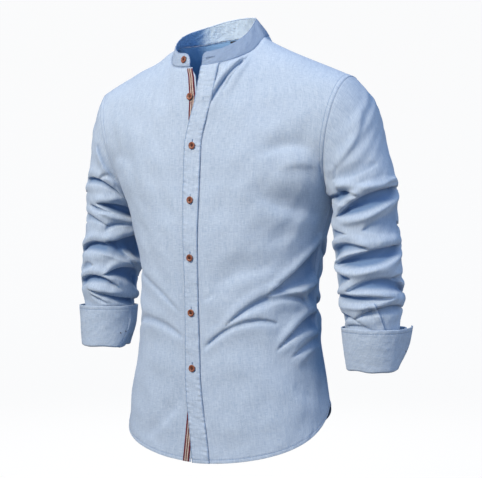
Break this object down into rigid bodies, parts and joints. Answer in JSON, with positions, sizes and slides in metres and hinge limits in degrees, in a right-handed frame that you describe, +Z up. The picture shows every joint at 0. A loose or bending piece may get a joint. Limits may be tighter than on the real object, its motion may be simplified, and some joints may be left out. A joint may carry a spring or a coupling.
{
  "type": "mandarin collar shirt",
  "caption": "Long-sleeved slim shirt in pale blue linen-look cloth, with a stand collar, a striped tape under the button placket, turned-back cuffs and a curved hem, worn and hollow.",
  "frame": {"origin": "inside the neck, midway between the two points where the shoulder seams meet the collar band, level with them", "axes": "+Z up, the front faces -Y, +X to the wearer's left"},
  "size_m": [0.6429, 0.2467, 0.746],
  "materials": {
    "cloth": "slubby plain weave of linen and cotton, matt",
    "striped_tape": "woven tape, maroon and cream stripes",
    "label": "plain black woven label",
    "button": "copper brown, half gloss"
  },
  "bodies": {
    "root": {"front_left": "cloth", "front_right": "cloth", "back": "cloth", "placket": "cloth", "placket_tape": "striped_tape", "collar_band": "cloth", "neck_label": "label", "sleeve_left": "cloth", "sleeve_right": "cloth", "sleeve_placket_left": "cloth", "sleeve_placket_right": "cloth", "cuff_left": "cloth", "cuff_right": "cloth", "button_collar": "button", "button_front_1": "button", "button_front_2": "button", "button_front_3": "button", "button_front_4": "button", "button_front_5": "button", "button_front_6": "button"}
  },
  "joints": []
}
